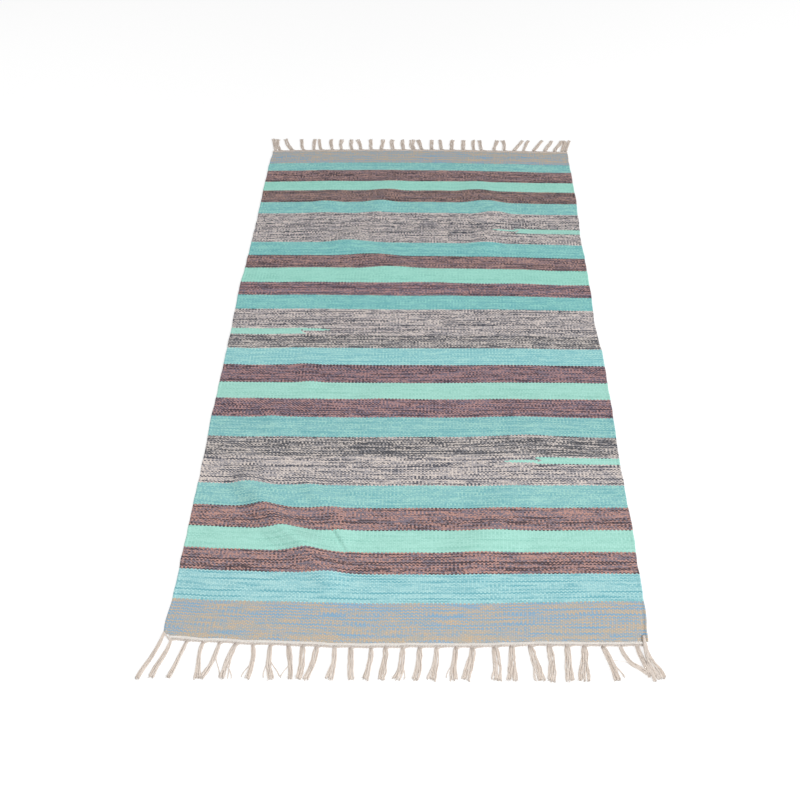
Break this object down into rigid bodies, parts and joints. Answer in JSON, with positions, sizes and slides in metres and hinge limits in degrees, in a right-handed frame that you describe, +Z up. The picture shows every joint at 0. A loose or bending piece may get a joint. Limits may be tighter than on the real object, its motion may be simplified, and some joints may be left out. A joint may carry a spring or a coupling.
{
  "type": "kilim rug",
  "caption": "Flat-woven cotton kilim rug lying flat, with banded stripes, low fold ridges and a knotted tassel fringe at each end.",
  "frame": {"origin": "centre of the rug's footprint, fringes included, on the surface it lies on", "axes": "+X across the rug, +Y along it towards the far fringe, +Z up out of the face that shows"},
  "size_m": [0.967, 1.6448, 0.0227],
  "materials": {
    "weave": "weft-faced cotton plain weave in bands of mint, turquoise, brown melange, cream and charcoal melange, and beige and blue melange",
    "fringe_yarn": "undyed cream cotton warp yarn, knotted and cut"
  },
  "bodies": {
    "root": {"rug": "weave", "fringe_near": "fringe_yarn", "fringe_far": "fringe_yarn"}
  },
  "joints": []
}
